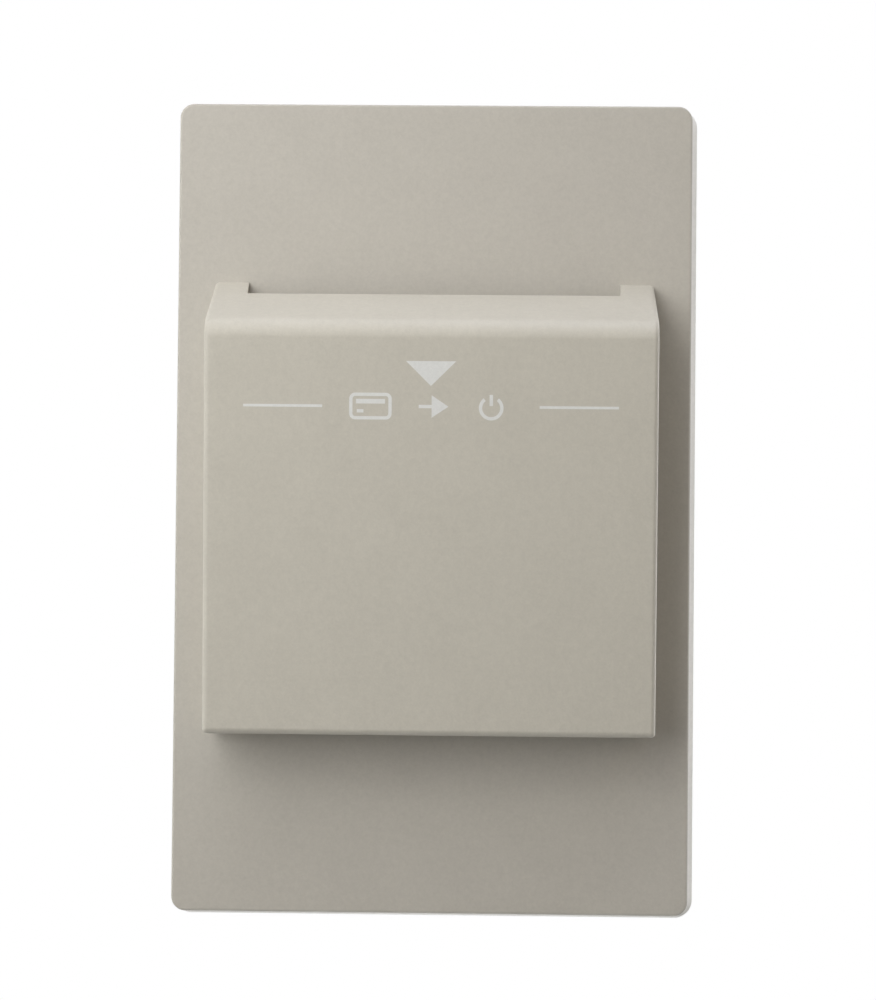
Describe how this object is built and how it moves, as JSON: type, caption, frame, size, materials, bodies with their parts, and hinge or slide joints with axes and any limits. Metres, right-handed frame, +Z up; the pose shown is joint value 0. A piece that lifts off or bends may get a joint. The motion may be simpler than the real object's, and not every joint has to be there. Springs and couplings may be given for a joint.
{
  "type": "hotel key card switch",
  "caption": "Wall switch with a slotted card pocket on a flat screwless plate; a key card slid into the pocket pushes back a sprung lever and turns the room's power on.",
  "frame": {"origin": "on the wall face, midway between the two wall box screws", "axes": "+X to the right and +Z up as seen from the room, +Y into the wall, so the front faces -Y"},
  "size_m": [0.081, 0.0604, 0.1265],
  "materials": {
    "greige_plastic": "fine moulded grain, satin",
    "pale_plastic": "smooth moulded, satin",
    "ivory_plastic": "smooth moulded, low gloss",
    "black_plastic": "fine moulded grain, matt",
    "zinc_steel": "bright zinc plating",
    "brass": "rolled sheet, satin",
    "green_steel": "green lacquer on steel",
    "board_green": "solder mask over glass fibre",
    "relay_blue": "smooth moulded, glossy",
    "capacitor_yellow": "potted box, low gloss",
    "capacitor_sleeve": "shrink sleeve, glossy",
    "varistor_blue": "dipped epoxy",
    "resistor_coat": "cement coat",
    "plunger_red": "smooth moulded"
  },
  "bodies": {
    "device": {"face_plate": "greige_plastic", "card_pocket": "greige_plastic", "pocket_screws": "zinc_steel", "back_plate": "pale_plastic", "back_plate_screws": "zinc_steel", "mounting_strap": "zinc_steel", "housing_front": "black_plastic", "housing_rear": "black_plastic", "housing_screws": "zinc_steel", "lever_pin": "zinc_steel", "lever_spring": "zinc_steel", "switch_case": "black_plastic", "switch_terminals": "brass", "circuit_board": "board_green", "board_screws": "zinc_steel", "relay": "relay_blue", "film_capacitor": "capacitor_yellow", "smoothing_capacitor": "capacitor_sleeve", "varistor": "varistor_blue", "bridge_rectifier": "black_plastic", "control_chip": "black_plastic", "fuse_resistor": "resistor_coat", "line_terminal": "brass", "load_terminal": "brass", "neutral_terminal": "zinc_steel", "terminal_screws": "brass", "ground_screw": "green_steel"},
    "lever": {"card_lever": "ivory_plastic"},
    "plunger": {"switch_plunger": "plunger_red"}
  },
  "joints": [
    {"name": "lever_pivot", "type": "hinge", "parent": "device", "child": "lever", "pos_m": [0, 0.001, 0.002], "axis": [1, 0, 0], "range_deg": [0, 14], "stiffness_Nm_per_rad": 0.018, "springref_deg": -28.65, "deforming": ["lever_spring"]},
    {"name": "plunger_slide", "type": "slide", "parent": "device", "child": "plunger", "axis": [0, 1, 0], "range_m": [0, 0.00115]}
  ],
  "couplings": [
    {"joint": "plunger_slide", "follows": "lever_pivot", "m_per_rad": 0.0045}
  ]
}
